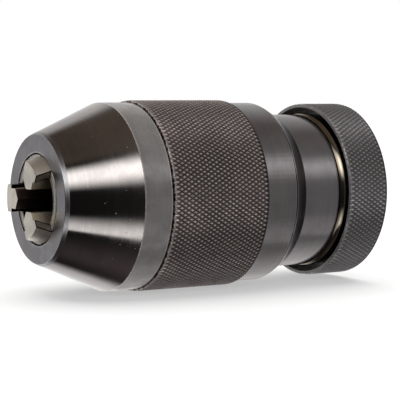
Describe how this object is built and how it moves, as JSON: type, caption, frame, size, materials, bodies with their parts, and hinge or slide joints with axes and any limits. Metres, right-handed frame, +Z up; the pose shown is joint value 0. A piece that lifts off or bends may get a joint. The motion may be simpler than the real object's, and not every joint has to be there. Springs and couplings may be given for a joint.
{
  "type": "drill chuck",
  "caption": "Keyless self-tightening drill chuck with a knurled sleeve, conical hood, rear grip ring and inclined sliding jaws, with a taper socket for the spindle.",
  "frame": {"origin": "centre of the whole chuck's bounding box at rest, on the chuck axis, midway between the jaws' front faces and the rear face", "axes": "+X along the chuck axis towards the spindle socket (the nose points to -X), +Z up, the chuck lying on its side; one jaw points to +Y"},
  "size_m": [0.097, 0.05, 0.05],
  "materials": {
    "turned_steel": "fine turned steel",
    "ground_steel": "bright ground tool steel",
    "hardened_steel": "hardened and polished",
    "polished_steel": "polished spring steel",
    "black_oxide_polished": "polished steel with a black oxide finish",
    "black_oxide_satin": "fine turned steel with a grey-black oxide finish",
    "knurled_steel": "diamond-knurled steel with a black oxide finish, worn bright on its tips",
    "cage_brass": "machined brass",
    "seal_rubber": "moulded rubber"
  },
  "bodies": {
    "hub": {"hub": "turned_steel", "rear_body": "black_oxide_satin", "grip_ring": "knurled_steel", "retaining_ring": "polished_steel", "dust_seal": "seal_rubber", "front_race": "hardened_steel"},
    "sleeve": {"sleeve": "knurled_steel", "hood": "black_oxide_polished", "jaw_guide": "turned_steel", "bearing_nut": "black_oxide_satin", "rear_race": "hardened_steel"},
    "ball_cage": {"ball_cage": "cage_brass", "bearing_ball_01": "hardened_steel", "bearing_ball_02": "hardened_steel", "bearing_ball_03": "hardened_steel", "bearing_ball_04": "hardened_steel", "bearing_ball_05": "hardened_steel", "bearing_ball_06": "hardened_steel", "bearing_ball_07": "hardened_steel", "bearing_ball_08": "hardened_steel", "bearing_ball_09": "hardened_steel", "bearing_ball_10": "hardened_steel", "bearing_ball_11": "hardened_steel", "bearing_ball_12": "hardened_steel"},
    "drive_screw": {"drive_screw": "turned_steel"},
    "jaw_1": {"jaw_1": "ground_steel"},
    "jaw_2": {"jaw_2": "ground_steel"},
    "jaw_3": {"jaw_3": "ground_steel"}
  },
  "joints": [
    {"name": "sleeve_turn", "type": "hinge", "parent": "hub", "child": "sleeve", "pos_m": [0, 0, 0], "axis": [1, 0, 0], "range_deg": [-741.8, 741.8]},
    {"name": "bearing_cage_turn", "type": "hinge", "parent": "hub", "child": "ball_cage", "pos_m": [0, 0, 0], "axis": [1, 0, 0], "range_deg": [-371, 371]},
    {"name": "screw_travel", "type": "slide", "parent": "sleeve", "child": "drive_screw", "axis": [-1, 0, 0], "range_m": [-0.00824, 0.00824]},
    {"name": "jaw_1_slide", "type": "slide", "parent": "sleeve", "child": "jaw_1", "axis": [-0.9397, -0.342, 0], "range_m": [-0.00877, 0.00877]},
    {"name": "jaw_2_slide", "type": "slide", "parent": "sleeve", "child": "jaw_2", "axis": [-0.9397, 0.171, 0.2962], "range_m": [-0.00877, 0.00877]},
    {"name": "jaw_3_slide", "type": "slide", "parent": "sleeve", "child": "jaw_3", "axis": [-0.9397, 0.171, -0.2962], "range_m": [-0.00877, 0.00877]}
  ],
  "couplings": [
    {"joint": "bearing_cage_turn", "follows": "sleeve_turn", "ratio": 0.5},
    {"joint": "screw_travel", "follows": "sleeve_turn", "m_per_rad": 0.00063662},
    {"joint": "jaw_1_slide", "follows": "sleeve_turn", "m_per_rad": 0.00067748},
    {"joint": "jaw_2_slide", "follows": "sleeve_turn", "m_per_rad": 0.00067748},
    {"joint": "jaw_3_slide", "follows": "sleeve_turn", "m_per_rad": 0.00067748}
  ]
}
